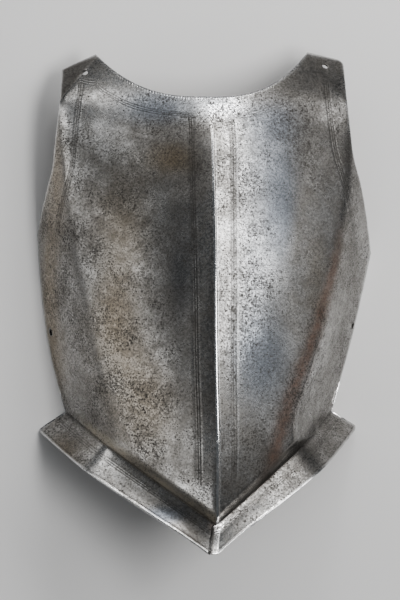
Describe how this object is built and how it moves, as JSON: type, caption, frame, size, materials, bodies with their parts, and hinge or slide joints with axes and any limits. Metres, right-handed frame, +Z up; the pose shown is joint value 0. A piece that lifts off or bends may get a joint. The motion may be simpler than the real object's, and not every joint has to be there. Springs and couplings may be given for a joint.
{
  "type": "steel cuirass breastplate",
  "caption": "One-piece keeled breastplate with a hollowed neck edge, pierced shoulder tips, bent side walls and an out-turned waist flange.",
  "frame": {"origin": "on the floor under the middle of the plate's bounding box, with the plate lying hollow side down", "axes": "+Y from the waist towards the neck, +Z up from the floor through the keel, +X to the right as seen from in front"},
  "size_m": [0.3182, 0.4572, 0.1498],
  "materials": {
    "plate_steel": "old polished plate, pitted and patchily browned"
  },
  "bodies": {
    "root": {"breastplate": "plate_steel"}
  },
  "joints": []
}
